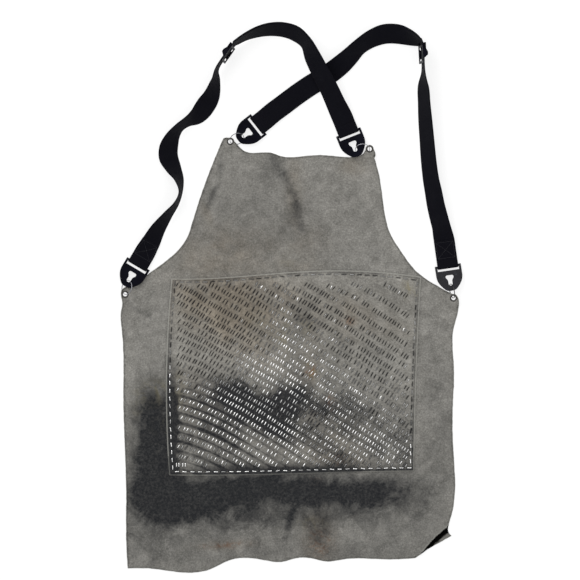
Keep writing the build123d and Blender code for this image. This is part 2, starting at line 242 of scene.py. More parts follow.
def suede(name, base, pale, dark):
    """Split leather: a short nap mottled in two sizes, soot together with painted shade, rust and tan stains,
    scuffs and scratches, and a hollow painted near-black.
    """
    s = Shader(name)
    cloud = s.noise(9, 5, 0.6, 0.4)
    mottle = s.noise(60, 5, 0.65)
    nap = s.noise(300, 5, 0.75)
    fleck = s.noise(520, 3, 0.8)
    colour = s.mix(s.remap(cloud, 0.3, 0.7), dark, base)
    colour = s.mix(s.remap(mottle, 0.42, 0.72, 0, 0.5), colour, pale)
    colour = s.mix(s.remap(nap, 0.50, 0.70, 0.0, 0.75), colour, pale)
    colour = s.mix(s.remap(nap, 0.28, 0.48, 0.60, 0.0), colour, s.tint(colour, (0.45, 0.44, 0.42)))
    colour = s.mix(s.remap(fleck, 0.62, 0.72, 0.0, 0.5), colour, (0.36, 0.35, 0.32))
    grain = s.mix(s.remap(s.noise(400, 3, 0.6), 0.34, 0.66), (0.84, 0.84, 0.84), (1.17, 1.17, 1.16))
    colour = s.tint(colour, grain)
    handling = s.remap(s.noise(30, 5, 0.66, 0.9), 0.36, 0.66)
    handled = s.mix(handling, (0.85, 0.85, 0.85), (1.12, 1.12, 1.12))
    colour = s.tint(colour, handled)
    brown = s.times(s.attribute("brown"), s.remap(s.noise(34, 5, 0.62), 0.32, 0.62, 0.35, 1))
    colour = s.mix(brown, colour, s.tint(colour, (0.93, 0.84, 0.74)))
    tan = s.times(s.attribute("tan"), s.remap(s.noise(46, 6, 0.66, 0.8), 0.44, 0.62))
    colour = s.mix(tan, colour, (0.21, 0.185, 0.115))
    rust = s.times(s.attribute("rust"), s.remap(s.noise(85, 6, 0.7, 1.0), 0.46, 0.62))
    colour = s.mix(rust, colour, (0.17, 0.072, 0.028))
    # this attribute holds real soot together with painted shade: darker furrows, a shadow line along the
    # patch's edge, rings round the staples and valleys between their rows
    soot_and_shade = s.attribute("soot_and_shade")
    ragged = s.remap(s.noise(26, 7, 0.70, 0.7), 0.3, 0.7, -0.28, 0.28)
    soot_and_shade = s.remap(s.math("ADD", soot_and_shade, s.times(ragged, s.remap(soot_and_shade, 0.0, 0.35))), 0.0, 0.82)
    grit = s.remap(s.noise(240, 5, 0.8), 0.36, 0.66, 1.05, 0.84)
    sooted_and_shaded = s.mix(s.times(soot_and_shade, grit), colour, (0.011, 0.012, 0.014))
    scratch_place = s.tree.nodes.new("ShaderNodeMapping")
    scratch_place.inputs["Rotation"].default_value = (0, 0, 0.5)
    scratch_place.inputs["Scale"].default_value = (16, 210, 1)
    s.link(s.place, scratch_place.inputs["Vector"])
    scratches = s.noise(3.0, 3, 0.6, 0.6, scratch_place.outputs["Vector"])
    scratches = s.remap(scratches, 0.70, 0.76, 0, 0.22)
    worn = s.mix(scratches, sooted_and_shaded, (0.30, 0.295, 0.275))
    edge = s.attribute("edge")
    worn = s.mix(s.times(edge, 0.85), worn, (0.30, 0.295, 0.27))
    # painted shade: the deep attribute paints the fold's hollow near-black and takes away its specular
    # reflection
    deep = s.attribute("deep")
    worn = s.mix(deep, worn, (0.0015, 0.0015, 0.0012))
    s.link(s.remap(deep, 0, 1, 0.10, 0.0), s.surface.inputs["Specular IOR Level"])
    height = s.math("ADD", s.times(nap, 0.6), s.times(s.noise(130, 6, 0.7), 1.0))
    fine = s.bump(height, 0.0007, 0.75)
    normal = s.bump(s.noise(17, 4, 0.6, 0.6), 0.004, 0.45, fine)
    roughness = s.remap(soot_and_shade, 0.2, 0.9, 0.88, 0.62)
    s.surface.inputs["Sheen Weight"].default_value = 0.04
    s.surface.inputs["Sheen Roughness"].default_value = 0.5
    return s.finish(worn, roughness, normal)


def woven(name, base, high):
    """Elastic webbing: ribs across it and cords along it."""
    s = Shader(name, specular=0.05)
    weave = s.tree.nodes.new("ShaderNodeSeparateXYZ")
    s.link(s.attribute("weave", "Vector"), weave.inputs[0])
    across, along = weave.outputs["X"], weave.outputs["Y"]
    ribs = s.math("SINE", s.times(along, 2 * math.pi / 1.5))
    cords = s.math("SINE", s.times(across, 2 * math.pi / 1.9))
    shift = s.times(s.math("SIGN", cords), s.math("SINE", s.times(along, math.pi / 0.75)))
    height = s.math("ADD", s.times(ribs, 0.45), s.times(shift, 0.35))
    height = s.math("ADD", height, s.times(s.math("ABSOLUTE", cords), 0.5))
    fuzz = s.noise(1500, 3, 0.7)
    height = s.math("ADD", height, s.times(fuzz, 0.8))
    # painted light and shade: the colour is lighter where the weave stands up and darker in its hollows
    light = s.remap(height, -0.4, 1.5)
    colour = s.mix(light, base, high)
    dust = s.remap(s.noise(38, 6, 0.7), 0.5, 0.8, 0, 0.16)
    colour = s.mix(dust, colour, (0.016, 0.016, 0.020))
    s.surface.inputs["Sheen Weight"].default_value = 0.03
    s.surface.inputs["Sheen Roughness"].default_value = 0.4
    return s.finish(colour, s.remap(fuzz, 0.3, 0.7, 0.7, 0.9), s.bump(height, 0.00025, 0.8))


def thread_material():
    s = Shader("thread", roughness=0.6)
    twist = s.noise(2600, 2, 0.6)
    return s.finish(s.mix(twist, (0.003, 0.003, 0.005), (0.014, 0.014, 0.020)), None,
                    s.bump(twist, 0.0001, 0.6))


def moulded(name, gloss, scuffed):
    """Satin black nylon with a fine spark-eroded texture, scuffed pale in places."""
    s = Shader(name, specular=gloss)
    grain = s.noise(1400, 3, 0.7)
    scuff = s.remap(s.noise(150, 6, 0.75, 1.2), 0.58, 0.72, 0, 0.5)
    colour = s.mix(s.remap(s.noise(40, 4), 0.3, 0.7), (0.002, 0.002, 0.004), (0.005, 0.005, 0.010))
    colour = s.mix(scuff, colour, scuffed)
    return s.finish(colour, s.remap(s.noise(220, 4, 0.7), 0.3, 0.7, 0.30, 0.5), s.bump(grain, 0.00008, 0.5))


def wire(name, bright, dull, low, high):
    """Metal, brighter or duller by noise and by the "shine" each piece carries."""
    s = Shader(name, metallic=1.0, specular=0.15)
    tarnish = s.noise(700, 5, 0.7)
    shine = s.attribute("shine")
    amount = s.remap(s.math("ADD", shine, s.times(tarnish, 0.5)), 0.35, 1.15)
    colour = s.mix(amount, dull, bright)
    metal = s.remap(amount, 0.05, 0.35)
    return s.finish(colour, s.remap(amount, 0, 1, high, low), s.bump(s.noise(1800, 3), 0.00005, 0.5), metal)


# ---- mesh help -----------------------------------------------------------------------------------
def piece(name, points, faces, material, attributes=None):
    """A mesh object from points in millimetres."""
    mesh = bpy.data.meshes.new(name)
    mesh.from_pydata((np.asarray(points, float) * MM).tolist(), [], faces)
    mesh.update()
    mesh.polygons.foreach_set("use_smooth", [True] * len(mesh.polygons))
    for key, values in (attributes or {}).items():
        values = np.asarray(values, np.float32)
        kind, field = ("FLOAT_VECTOR", "vector") if values.ndim == 2 else ("FLOAT", "value")
        mesh.attributes.new(key, kind, "POINT").data.foreach_set(field, values.ravel())
    mesh.materials.append(material)
    made = bpy.data.objects.new(name, mesh)
    bpy.context.collection.objects.link(made)
    return made


def side_faces(rings, count, start=0):
    """Faces joining successive rings of count points, whose first point is number start."""
    faces = []
    for ring in range(rings - 1):
        for k in range(count):
            a = start + ring * count + k
            b = start + ring * count + (k + 1) % count
            faces.append((a, b, b + count, a + count))
    return faces


def swept_faces(rings, count, start=0):
    """Side faces with a cap at both ends."""
    last = start + (rings - 1) * count
    caps = [tuple(start + k for k in reversed(range(count))), tuple(last + k for k in range(count))]
    return side_faces(rings, count, start) + caps


def unit_rows(vectors):
    return vectors / np.linalg.norm(vectors, axis=1)[:, None]


def smooth_step(value, low, high):
    t = np.clip((np.asarray(value, float) - low) / (high - low), 0, 1)
    return t * t * (3 - 2 * t)


def field_noise(points, size, seed):
    """Smooth noise from -1 to 1 at each x, y, with features about size millimetres across."""
    return np.array([noise.noise(Vector((x / size, y / size, seed))) for x, y in points])


def distance_to_path(points, path):
    """Distance of each x, y from a broken line."""
    nearest = np.full(len(points), 1e9)
    for a, b in zip(path[:-1], path[1:]):
        a, b = np.array(a, float), np.array(b, float)
        run = b - a
        t = np.clip(((points - a) @ run) / (run @ run), 0, 1)
        gap = np.hypot(*(points - a - t[:, None] * run).T)
        nearest = np.minimum(nearest, gap)
    return nearest


def blobs(points, spots):
    """The sum of soft ellipses: x, y, half length, half width, heading in degrees, strength."""
    total = np.zeros(len(points))
    for x, y, long, wide, heading, strength in spots:
        turn = math.radians(heading)
        dx, dy = points[:, 0] - x, points[:, 1] - y
        u = (dx * math.cos(turn) + dy * math.sin(turn)) / long
        v = (dy * math.cos(turn) - dx * math.sin(turn)) / wide
        total += strength * np.exp(-(u * u + v * v) ** 1.3 * 0.7)
    return total


# ---- where each corner's pieces lie --------------------------------------------------------------
def unit(angle):
    """A level unit vector at an angle in degrees."""
    return Vector((math.cos(math.radians(angle)), math.sin(math.radians(angle)), 0))


class Corner:
    """Bar, keyhole, ring and eyelet of one corner, worked out from its entry in CORNERS."""

    def __init__(self, bar_x, bar_y, heading, chain, tilt, side):
        self.ring_z = RING_R * math.sin(math.radians(tilt)) + RING_WIRE_R + 0.1
        droop = math.asin((self.ring_z - BAR_Z) / KEY_REACH)
        along = unit(heading)
        self.away = along * math.cos(droop) - Vector((0, 0, math.sin(droop)))
        self.along = along
        self.across = Vector((along.y, -along.x, 0))
        self.bar = Vector((bar_x, bar_y, BAR_Z))
        key = self.bar - self.away * KEY_REACH
        self.chain = unit(chain)
        self.eyelet = key - self.chain * 2 * RING_R
        swing = Vector((-self.chain.y, self.chain.x, 0)) * side
        rise = math.radians(tilt)
        self.up_side = swing * math.cos(rise) + Vector((0, 0, math.sin(rise)))
        self.ring_centre = key - self.chain * RING_R
        self.ring_axis = self.chain.cross(self.up_side)


corners = {name: Corner(*values) for name, values in CORNERS.items()}
camera_floor_light()

leather_material = suede("suede_leather", (0.200, 0.194, 0.178), (0.30, 0.29, 0.27), (0.160, 0.155, 0.142))
patch_material = suede("suede_patch", (0.225, 0.217, 0.197), (0.33, 0.32, 0.295), (0.165, 0.158, 0.143))
webbing_material = woven("elastic_webbing", (0.0012, 0.0012, 0.0024), (0.0052, 0.0052, 0.0085))
sewing = thread_material()
plastic = moulded("moulded_nylon", 0.03, (0.010, 0.010, 0.016))
scuffed_plastic = moulded("moulded_nylon_scuffed", 0.30, (0.085, 0.095, 0.125))
# painted reflection: the near-black dull colour stands in for staple crowns that reflect dark
staple_wire = wire("staple_wire", (0.97, 0.97, 0.96), (0.008, 0.0075, 0.007), 0.16, 0.6)
spring_wire = wire("spring_wire", (0.52, 0.52, 0.56), (0.03, 0.03, 0.03), 0.2, 0.38)
gunmetal = wire("gunmetal", (0.10, 0.095, 0.09), (0.018, 0.016, 0.014), 0.28, 0.45)


# ---- leather -------------------------------------------------------------------------------------
OUTLINE_JUMP = 15.0      # widest gap between neighbouring points of an outline


def plan_outline(node):
    """The node's outline from above, as an ordered ring of x, y in millimetres, from its upright faces."""
    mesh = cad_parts[node].data
    beside = {}
    for face in mesh.polygons:
        if abs(face.normal.z) > 0.05:
            continue
        spots = {(round(mesh.vertices[i].co.x / MM, 2), round(mesh.vertices[i].co.y / MM, 2))
                 for i in face.vertices}
        for spot in spots:
            if all(math.dist(spot, corner.eyelet.xy) > EYELET_IN_R + 1.5 for corner in corners.values()):
                beside.setdefault(spot, set()).update(spots - {spot})
    here = min(beside)
    ring = [here]
    while True:
        linked = beside.pop(here)
        near = [spot for spot in linked if spot in beside]
        near = near or [spot for spot in beside if math.dist(spot, here) < OUTLINE_JUMP]
        if not near:
            return ring
        here = min(near, key=lambda spot: math.dist(spot, ring[-1]))
        ring.append(here)


def resampled(ring, spacing):
    """The same closed ring at an even spacing."""
    ring = np.array(ring + ring[:1], float)
    steps = np.hypot(*np.diff(ring, axis=0).T)
    run = np.concatenate([[0], np.cumsum(steps)])
    count = int(round(run[-1] / spacing))
    at = np.arange(count) * run[-1] / count
    return np.column_stack([np.interp(at, run, ring[:, 0]), np.interp(at, run, ring[:, 1])])


def inside(points, ring):
    """Which points lie inside a closed ring."""
    x, y = points[:, 0], points[:, 1]
    odd = np.zeros(len(points), bool)
    for (ax, ay), (bx, by) in zip(ring, np.roll(ring, -1, axis=0)):
        if ay != by:
            crosses = (ay > y) != (by > y)
            odd ^= crosses & (x < (bx - ax) * (y - ay) / (by - ay) + ax)
    return odd


# creases in the hide: points, half width, depth (below zero is a furrow)
CREASES = [
    ([(-38, 398), (-20, 366), (-2, 334), (8, 300), (16, 266)], 13, -1.5),
    ([(-54, 396), (-40, 352), (-22, 316)], 16, 1.6),
    ([(-132, 398), (-133, 352), (-143, 334), (-158, 296)], 7, -1.2),
    ([(-5, -186), (-28, -214), (-52, -262), (-84, -318)], 13, 1.9),
    ([(-30, -188), (-78, -208), (-150, -222), (-228, -238)], 15, -2.0),
    ([(12, -188), (4, -232), (-14, -300)], 10, -0.9),
    ([(40, -190), (52, -250), (58, -330)], 14, 0.9),
    ([(-306, 140), (-290, 120), (-262, 106)], 7, -1.1),
    ([(250, -190), (268, -238), (282, -262)], 12, 0.9),
    ([(-254, -352), (-240, -318), (-250, -290)], 9, 1.1),
]


# how far the leather's rise to each eyelet spreads, for each millimetre of it
CONE_SPREAD = {"left_waist": 2.0, "right_waist": 1.25, "left_bib": 1.25, "right_bib": 2.5}
FOLD = ((280, -279), (231, -330))     # ends of the turned corner's ridge
FOLD_GAP = 9.6           # the dark hollow's width at its open end
HIDE_GRID = 4.2          # spacing of the hide's points
FOLD_GRID = 1.5          # and of those beside the turned corner


def beside_fold(points):
    """For each point: distance beyond the turned corner's ridge, nearness to its length, hollow's width."""
    start, end = np.array(FOLD[0], float), np.array(FOLD[-1], float)
    run = (end - start) / np.hypot(*(end - start))
    along = (points - start) @ run / np.hypot(*(end - start))
    beyond = (points - start) @ np.array([-run[1], run[0]])
    beyond = beyond + 2.4 * np.sin(np.clip(along, 0, 1) * math.pi)
    within = smooth_step(along, -0.12, -0.02) * (1 - smooth_step(along, 0.92, 1.06))
    return beyond, within, FOLD_GAP * (1 - np.clip(along, 0, 1) ** 4)


def relief(points):
    """Height of the hide's back above the floor: rolling waves, creases, a rippled hem and raised corners."""
    height = 1.0 + 0.9 * field_noise(points, 120, 3.1) + 0.45 * field_noise(points, 46, 8.7)
    for path, wide, deep in CREASES:
        gap = distance_to_path(points, path)
        height += deep * np.exp(-(gap / wide) ** 2)
    hem = smooth_step(-points[:, 1], 300, 350)
    height += hem * (0.8 + 0.8 * np.sin(points[:, 0] / 17.0 + 1.3 * np.sin(points[:, 0] / 41.0)))
    side = smooth_step(np.abs(points[:, 0]), 285, 310) * (points[:, 1] < 140)
    height += side * (0.7 + 0.7 * np.sin(points[:, 1] / 15.0 + 1.1 * np.sin(points[:, 1] / 37.0)))
    beyond, within, hollow = beside_fold(points)
    ridge = 6.5 * np.exp(-(np.minimum(beyond, 0) / 15) ** 2) * (beyond < 0)
    lip = 2.2 * smooth_step(beyond, hollow - 1, hollow + 2) - 1.2 * (beyond >= 0)
    near = (np.abs(beyond) < 60) * within
    height += near * (ridge + lip)
    height = np.maximum(height, 0.05)
    for name, corner in corners.items():
        rise = corner.ring_z - LEATHER / 2
        gap = np.hypot(points[:, 0] - corner.eyelet.x, points[:, 1] - corner.eyelet.y)
        cone = 1 - smooth_step(gap, 6.5, 10 + rise * (CONE_SPREAD[name] - 0.25))
        height = height * (1 - cone) + rise * cone
    return height


SOOT = [
    (-250, -150, 40, 116, 0, 0.95), (-262, -62, 34, 26, 0, 0.25), (-168, -228, 134, 44, -2, 0.84),
    (-278, -248, 18, 20, 0, -0.10),
    (-118, -212, 70, 20, 4, 0.35), (56, -206, 130, 26, -2, 0.70), (40, -244, 120, 30, 0, 0.36),
    (190, -214, 60, 34, -10, 0.36), (196, -262, 70, 26, -16, 0.14), (-20, -310, 340, 62, 0, 0.23),
    (-90, 250, 110, 120, 0, 0.07),
    (272, -100, 32, 130, 0, 0.20), (262, -170, 34, 40, 0, 0.10), (-222, -150, 12, 60, 0, 0.30),
    (-58, -242, 54, 22, 4, -0.24),
    (-300, -330, 14, 50, 0, 0.16), (-40, 366, 22, 42, -32, 0.16), (-2, 300, 12, 60, 8, 0.16),
    # painted shade: these two thin blobs darken the furrow that runs down from (-132, 398)
    (-148, 322, 24, 4, 69, 0.22), (-132, 366, 16, 4, 86, 0.12),
    (-40, 262, 150, 60, 0, 0.10), (-300, 60, 10, 90, 0, -0.04), (52, -288, 18, 50, 0, 0.22),
]
BROWN = [
    (-100, 205, 110, 44, 10, 0.42), (2, 330, 14, 60, 0, 0.55), (-140, 230, 60, 40, 20, 0.35),
    (46, -300, 26, 50, 0, 0.65), (-126, -312, 46, 9, 4, 0.45), (110, 378, 24, 16, 0, 0.5),
    (24, 190, 30, 12, 0, 0.35), (34, 240, 24, 30, 0, 0.25), (-158, 292, 8, 22, 30, 0.5),
]
TAN = [(-256, -34, 24, 15, 10, 1.0), (-244, -84, 16, 30, 0, 0.9), (-280, -66, 12, 14, 0, 0.5),
       (36, -270, 20, 12, 0, 0.5), (-8, 200, 14, 5, 0, 0.35)]
RUST = [(48, -306, 20, 26, 0, 0.5), (-122, -312, 36, 5, 3, 0.6), (40, -196, 10, 10, 0, 0.5)]


def stains(points, soot_and_shade, brown, tan, rust):
    return {"soot_and_shade": blobs(points, soot_and_shade), "brown": blobs(points, brown), "tan": blobs(points, tan),
            "rust": blobs(points, rust)}


def leather_piece():
    """The hide: a top and a back skin joined round a slightly ragged, rounded cut edge."""
    rim = resampled(plan_outline("leather_body"), 2.4)
    outward = np.roll(rim, -1, axis=0) - np.roll(rim, 1, axis=0)
    outward = np.column_stack([outward[:, 1], -outward[:, 0]])
    outward /= np.hypot(*outward.T)[:, None]
    area = 0.5 * np.sum(rim[:, 0] * np.roll(rim[:, 1], -1) - np.roll(rim[:, 0], -1) * rim[:, 1])
    outward *= np.sign(area)
    ragged = 0.35 * field_noise(rim, 5, 1.0) + 0.5 * field_noise(rim, 16, 2.0)
    rim = rim + outward * (ragged - 0.3)[:, None]
    inner = rim - outward * 1.3
    grid = []
    step = HIDE_GRID
    for j, y in enumerate(np.arange(rim[:, 1].min(), rim[:, 1].max(), step * 0.87)):
        for x in np.arange(rim[:, 0].min() + (j % 2) * step / 2, rim[:, 0].max(), step):
            grid.append((x + rng.uniform(-0.5, 0.5), y + rng.uniform(-0.5, 0.5)))
    coarse = len(grid)
    for x in np.arange(215, 300, FOLD_GRID):
        for y in np.arange(-345, -262, FOLD_GRID):
            grid.append((x + rng.uniform(-0.1, 0.1), y + rng.uniform(-0.1, 0.1)))
    grid = np.array(grid)
    beyond, within, _ = beside_fold(grid)
    fine = np.arange(len(grid)) >= coarse
    grid = grid[~fine | (np.abs(beyond - FOLD_GAP / 2) < FOLD_GAP + 4) & (within > 0)]
    grid = grid[inside(grid, inner)]
    close = np.zeros(len(grid), bool)
    for start in range(0, len(grid), 2000):
        part = grid[start:start + 2000]
        gaps = np.hypot(part[:, None, 0] - inner[None, ::2, 0], part[:, None, 1] - inner[None, ::2, 1])
        close[start:start + 2000] = gaps.min(axis=1) < 2.2
    for corner in corners.values():
        close |= np.hypot(grid[:, 0] - corner.eyelet.x, grid[:, 1] - corner.eyelet.y) < EYELET_IN_R + 1.6
    grid = grid[~close]
    bores = []
    for corner in corners.values():
        turn = np.arange(20) * math.tau / 20
        bores.append(np.column_stack([corner.eyelet.x + (EYELET_IN_R + 0.5) * np.cos(turn),
                                      corner.eyelet.y + (EYELET_IN_R + 0.5) * np.sin(turn)]))
    flat = np.vstack([inner, *bores, grid])
    edges = []
    start = 0
    for ring in (inner, *bores):
        edges += [(start + i, start + (i + 1) % len(ring)) for i in range(len(ring))]
        start += len(ring)
    out = delaunay_2d_cdt([Vector(p) for p in flat], edges, [], 0, 1e-4)
    xy = np.array([tuple(p) for p in out[0]])
    triangles = [tuple(f) for f in out[2]]
    middles = np.array([xy[list(f)].mean(axis=0) for f in triangles])
    keep = inside(middles, inner)
    for corner in corners.values():
        keep &= np.hypot(middles[:, 0] - corner.eyelet.x, middles[:, 1] - corner.eyelet.y) > EYELET_IN_R + 0.45
    triangles = [f for f, kept in zip(triangles, keep) if kept]
    for i, f in enumerate(triangles):
        a, b, c = xy[list(f)]
        if np.cross(b - a, c - a) < 0:
            triangles[i] = f[::-1]
    height = relief(xy)
    back = np.column_stack([xy, height])
    top = np.column_stack([xy, height + LEATHER])
    count = len(xy)
    faces = list(triangles) + [tuple(i + count for i in reversed(f)) for f in triangles]
    points = np.vstack([top, back])
    # the cut edge, and the bores, from the free edges of the top skin
    sides = {}
    for f in triangles:
        for i in range(3):
            a, b = f[i], f[(i + 1) % 3]
            if (b, a) in sides:
                del sides[(b, a)]
            else:
                sides[(a, b)] = True
    free = sorted({i for side in sides for i in side})
    lookup = {vertex: n for n, vertex in enumerate(free)}
    free_xy = xy[free]
    nearest = np.array([np.argmin(np.hypot(*(inner - p).T)) for p in free_xy])
    on_rim = np.hypot(*(inner[nearest] - free_xy).T) < 0.2
    bulged = np.where(on_rim[:, None], rim[nearest], free_xy)
    levels = (0.82, 0.5, 0.18)
    reach = (0.55, 1.0, 0.55)
    first = len(points)
    for level, out_by in zip(levels, reach):
        spot = free_xy + (bulged - free_xy) * out_by
        points = np.vstack([points, np.column_stack([spot, height[free] + LEATHER * level])])
    for a, b in sides:
        columns = []
        for vertex in (b, a):
            n = lookup[vertex]
            columns.append([vertex] + [first + k * len(free) + n for k in range(3)] + [vertex + count])
        for k in range(4):
            faces.append((columns[0][k], columns[0][k + 1], columns[1][k + 1], columns[1][k]))
    attributes = stains(points[:, :2], SOOT, BROWN, TAN, RUST)
    worn = np.zeros(len(points))
    worn[first:] = 0.8
    attributes["edge"] = worn
    # painted shade: darker furrows, and a painted shadow line on the hide along the patch's edge, added to the
    # soot
    painted_shade = np.zeros(len(points))
    for path, wide, deep in CREASES:
        if deep < 0:
            painted_shade += 0.24 * np.exp(-(distance_to_path(points[:, :2], path) / (wide * 0.7)) ** 2)
    patch_gap = distance_to_path(points[:, :2], resampled(plan_outline("reinforcement_patch"), 12.0))
    painted_shade += 0.12 * np.exp(-(patch_gap / 3.0) ** 2)
    # painted shade: the hollow under the turned corner's ridge is marked here to be painted near-black
    beyond, within, wide = beside_fold(points[:, :2])
    open_side = 1 - smooth_step(beyond, wide - 0.8, wide + 0.4)
    attributes["deep"] = within * smooth_step(beyond, -0.6, 0.4) * open_side
    attributes["soot_and_shade"] = np.clip(attributes["soot_and_shade"] + painted_shade, 0, 1.3)
    attributes["edge"] += 0.8 * within * np.exp(-((beyond + 1.2) / 1.0) ** 2)
    made = piece("leather_hide", points, faces, leather_material, attributes)
    return made, abs(area) * MM * MM


# ---- patch ---------------------------------------------------------------------------------------
def patch_sides():
    """The patch's four sides as functions of 0 to 1, read from the frame: bottom, top, left and right."""
    ring = resampled(plan_outline("reinforcement_patch"), 1.0)
    ends = []
    for sx, sy in ((-1, -1), (1, -1), (1, 1), (-1, 1)):
        ends.append(int(np.argmax(ring[:, 0] * sx + ring[:, 1] * sy)))

    def side(a, b):
        count = len(ring)
        one = [(a + i) % count for i in range((b - a) % count + 1)]
        other = [(a - i) % count for i in range((a - b) % count + 1)]
        path = ring[one if len(one) < len(other) else other]
        at = np.linspace(0, 1, len(path))
        return lambda t: np.column_stack([np.interp(t, at, path[:, 0]), np.interp(t, at, path[:, 1])])

    return side(ends[0], ends[1]), side(ends[3], ends[2]), side(ends[0], ends[3]), side(ends[1], ends[2])


BOTTOM, TOP, LEFT, RIGHT = patch_sides()


def patch_point(u, v):
    """A point of the patch from its four sides, for arrays of u (left to right) and v (bottom to top)."""
    low, high, left, right = BOTTOM(u), TOP(u), LEFT(v), RIGHT(v)
    c00, c10 = BOTTOM(np.zeros(1)), BOTTOM(np.ones(1))
    c01, c11 = TOP(np.zeros(1)), TOP(np.ones(1))
    u, v = u[:, None], v[:, None]
    blend = low * (1 - v) + high * v + left * (1 - u) + right * u
    return blend - (c00 * (1 - u) * (1 - v) + c10 * u * (1 - v) + c01 * (1 - u) * v + c11 * u * v)


def row_slope(x, y):
    """Downward slope of the staple rows: gentle where they leave the patch's left side and top right."""
    levelled = math.exp(-((x + 232) / 78) ** 2) * float(smooth_step(-y, -150, 60))
    return 0.60 + 0.00025 * (x + 60) - 0.34 * levelled - 0.003 * max(0, y - 110) * (x > 0)


def staple_spots():
    """Field staples: x, y, heading in degrees, length and shine, row by row; and each row's line."""
    spots = []
    rows = []
    spacings = (5.0, 5.8, 4.7, 6.8, 5.2, 6.2, 4.9, 7.4)
    row = 0
    start_y = 560.0
    while start_y > -190:
        pitch = 16.6 + rng.uniform(-1.8, 1.8)
        start_y -= pitch
        row += 1
        dense = rng.choice((0.92, 1.0, 1.0, 1.12, 1.3))
        x, y = -216.0 + rng.uniform(0, 5), start_y
        step = 0
        line = []
        while x < 214:
            slope = row_slope(x, y)
            gap = spacings[(step * 3 + row * 5) % len(spacings)] * dense * rng.uniform(0.86, 1.14)
            run = gap / math.hypot(1, slope)
            x += run
            y -= run * slope
            step += 1
            line.append((x, y))
            if -214 < x < 210 and -168 < y < 163 and rng.random() > 0.05:
                wobble_x = 1.1 * noise.noise(Vector((x / 30, y / 30, row)))
                wobble_y = 2.2 * noise.noise(Vector((x / 42, y / 42, 5.5)))
                heading = 57 + 7 * noise.noise(Vector((x / 90, y / 90, 9.0))) + rng.gauss(0, 2.5)
                spots.append((x + wobble_x, y + wobble_y, heading, rng.uniform(6.6, 8.2)))
        rows.append(line)
    return [(x, y, heading, long, shine(x, y)) for x, y, heading, long in spots], rows


# painted reflection: where the staples are painted as reflecting bright, and in the next table where dark
BRIGHT_REFLECTIONS = [
    (-120, -90, 130, 52, -30, 0.95), (-40, -20, 70, 24, -38, 0.55), (-10, 60, 24, 90, 8, 0.50),
    (40, 20, 90, 26, -40, 0.50), (60, -60, 120, 24, -38, 0.42), (150, -130, 80, 32, -12, 0.50),
    (-30, -130, 90, 36, 0, 0.75), (-60, 20, 50, 22, -36, 0.50), (110, -20, 60, 16, -38, 0.30),
]
DARK_REFLECTIONS = [(-150, 110, 90, 70, -28, 0.75), (-180, 30, 50, 60, 0, 0.50), (170, 70, 70, 80, 0, 0.35),
          (60, 130, 90, 40, 0, 0.30), (30, -75, 46, 22, -30, 0.30)]


def shine(x, y):
    """How bright a staple's painted reflection is, from dark (0) to bright (1), by place, along streaks and at
    random.
    """
    here = np.array([[x, y]])
    glint = 1.0 if rng.random() < 0.62 else 0.42
    level = 0.24 + blobs(here, BRIGHT_REFLECTIONS)[0] * glint - blobs(here, DARK_REFLECTIONS)[0]
    streak = noise.noise(Vector((x / 26, (y + 0.6 * x) / 9, 2.0)))
    level += 0.30 * streak + rng.gauss(0, 0.16)
    if rng.random() < 0.035:
        level += 0.5
    return min(max(level, 0.0), 1.0)


def border_spots():
    """Border staples along a line inset from the patch's edge, and a short group at one corner."""
    ring = resampled(plan_outline("reinforcement_patch"), 1.0)
    middle = ring.mean(axis=0)
    half = np.abs(ring - middle).max(axis=0)
    ring = middle + (ring - middle) * (1 - BORDER_INSET / half)
    count = int(round(len(ring) / BORDER_PITCH))
    spots = []
    for i in range(count):
        here = ring[int(i * len(ring) / count)]
        ahead = ring[(int(i * len(ring) / count) + 3) % len(ring)]
        heading = math.degrees(math.atan2(ahead[1] - here[1], ahead[0] - here[0]))
        # painted reflection: the staples along the bottom and down the lower left are painted bright, the rest
        # dark
        glint = here[1] < -120 or here[0] < -205 and here[1] < 20
        level = 0.80 + rng.gauss(0, 0.2) if glint else 0.20 + rng.gauss(0, 0.12)
        spots.append((here[0], here[1], heading + rng.gauss(0, 5), STAPLE_LONG, min(max(level, 0), 1)))
    for extra in range(4):
        spots.append((-212 + 4.5 * extra + (2.5 if extra > 1 else 0), -166, 88, 7.6, 0.85))
    return spots


PATCH_SOOT = [
    (-84, -50, 56, 27, -33, 0.95), (-36, -88, 46, 22, -42, 0.74), (-10, -50, 28, 26, 0, 0.70),
    (-150, -44, 70, 26, -24, 0.30), (-165, -112, 74, 76, 0, 0.38),
    (-178, -24, 30, 14, -24, -0.16), (122, 22, 20, 26, -20, -0.10), (-80, -130, 90, 50, -20, 0.30),
    (-60, -178, 160, 12, 0, 0.60), (80, -176, 120, 10, 0, 0.40), (-222, -100, 12, 92, 0, 0.75),
    (22, -24, 18, 60, 20, 0.25), (76, -78, 96, 20, -42, 0.24), (56, -140, 60, 18, -42, 0.34),
    (36, -104, 100, 12, -40, 0.22), (20, 96, 26, 30, 0, 0.30), (-90, 130, 100, 50, -20, 0.14),
    (120, 30, 90, 40, -40, 0.10), (120, -60, 110, 12, -40, 0.20), (200, -150, 40, 40, 0, 0.16),
    (-30, -20, 60, 12, -36, 0.20), (130, -104, 130, 58, -12, 0.26), (60, -66, 60, 14, 0, 0.20),
]
PATCH_BROWN = [
    (-150, 130, 90, 56, -24, 0.9), (-60, 140, 90, 40, -10, 0.75), (-100, 70, 80, 40, -34, 0.5),
    (140, 100, 70, 30, -20, 0.30), (96, 96, 40, 40, 0, 0.35), (30, 30, 20, 60, 0, 0.35),
    (-180, -40, 30, 50, 0, 0.30), (60, -110, 60, 40, -30, 0.35), (80, -160, 50, 30, 0, 0.35),
]
